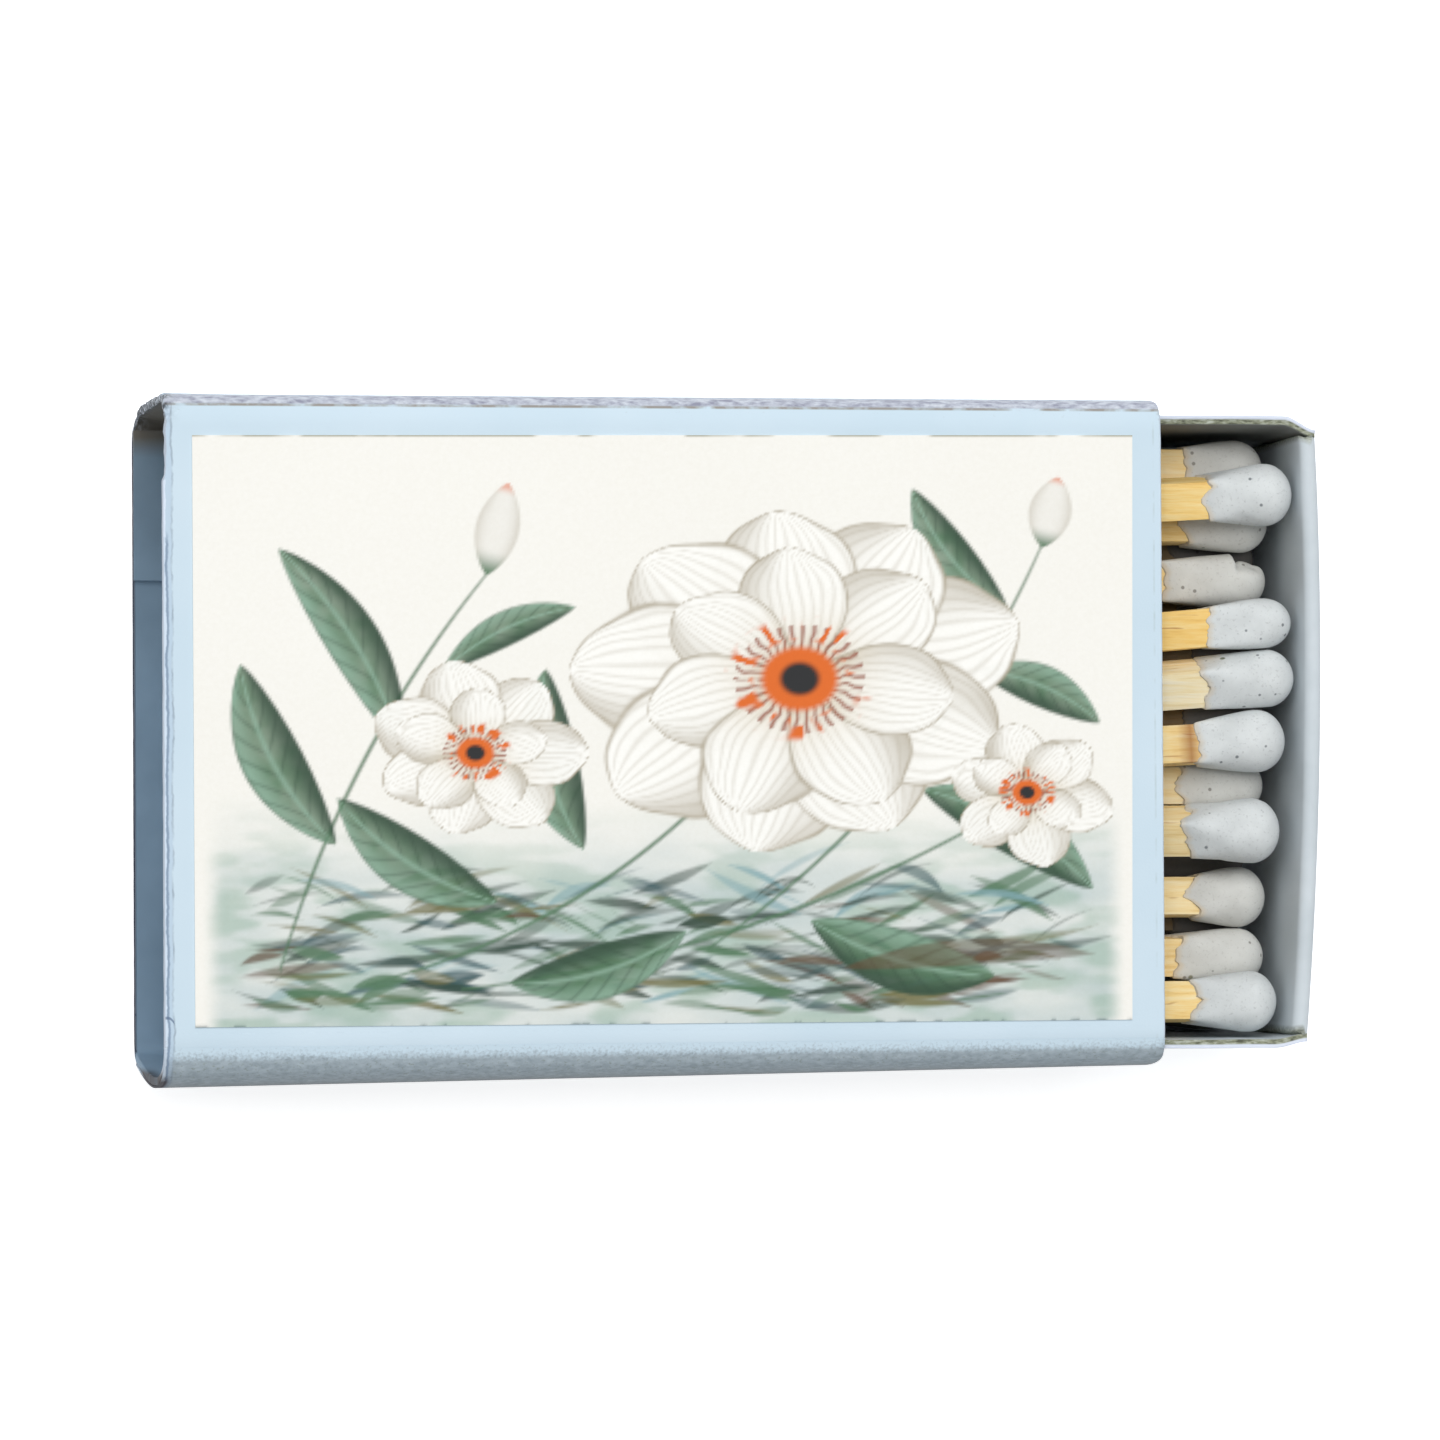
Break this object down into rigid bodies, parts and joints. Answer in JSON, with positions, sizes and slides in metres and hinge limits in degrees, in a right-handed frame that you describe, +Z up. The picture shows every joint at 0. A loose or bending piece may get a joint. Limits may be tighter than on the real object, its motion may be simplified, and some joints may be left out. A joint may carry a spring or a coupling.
{
  "type": "matchbox",
  "caption": "Sliding card matchbox: a bulging printed sleeve with a striking coat, and a folded tray of wooden matches drawn part of the way out.",
  "frame": {"origin": "middle of the sleeve's underside", "axes": "+X along the box, the way the tray is drawn out; +Z up, through the labelled top panel; the striking coat faces -Y"},
  "size_m": [0.0621, 0.0362, 0.0151],
  "materials": {
    "printed_card": "satin",
    "label_paper": "satin",
    "striking_coat": "matte",
    "tray_card": "matte",
    "splint_wood": "matte",
    "head_paste": "matte"
  },
  "bodies": {
    "sleeve": {"sleeve": "printed_card", "label": "label_paper", "striker": "striking_coat"},
    "tray": {"match_01": "splint_wood", "match_02": "splint_wood", "match_03": "splint_wood", "match_04": "splint_wood", "match_05": "splint_wood", "match_06": "splint_wood", "match_07": "splint_wood", "match_08": "splint_wood", "match_09": "splint_wood", "match_10": "splint_wood", "match_11": "splint_wood", "match_12": "splint_wood", "match_13": "splint_wood", "match_14": "splint_wood", "match_15": "splint_wood", "match_16": "splint_wood", "match_17": "splint_wood", "match_18": "splint_wood", "match_19": "splint_wood", "match_20_head": "head_paste", "match_20_splint": "splint_wood", "match_21_head": "head_paste", "match_21_splint": "splint_wood", "match_22_head": "head_paste", "match_22_splint": "splint_wood", "match_23_head": "head_paste", "match_23_splint": "splint_wood", "match_24_head": "head_paste", "match_24_splint": "splint_wood", "match_25_head": "head_paste", "match_25_splint": "splint_wood", "match_26_head": "head_paste", "match_26_splint": "splint_wood", "match_27_head": "head_paste", "match_27_splint": "splint_wood", "match_28_head": "head_paste", "match_28_splint": "splint_wood", "match_29_head": "head_paste", "match_29_splint": "splint_wood", "match_30_head": "head_paste", "match_30_splint": "splint_wood", "match_31_head": "head_paste", "match_31_splint": "splint_wood", "match_32_head": "head_paste", "match_32_splint": "splint_wood", "match_33_head": "head_paste", "match_33_splint": "splint_wood", "tray": "tray_card"}
  },
  "joints": [
    {"name": "tray_slide", "type": "slide", "parent": "sleeve", "child": "tray", "axis": [1, 0, 0], "range_m": [-0.0487, 0.0313]}
  ]
}
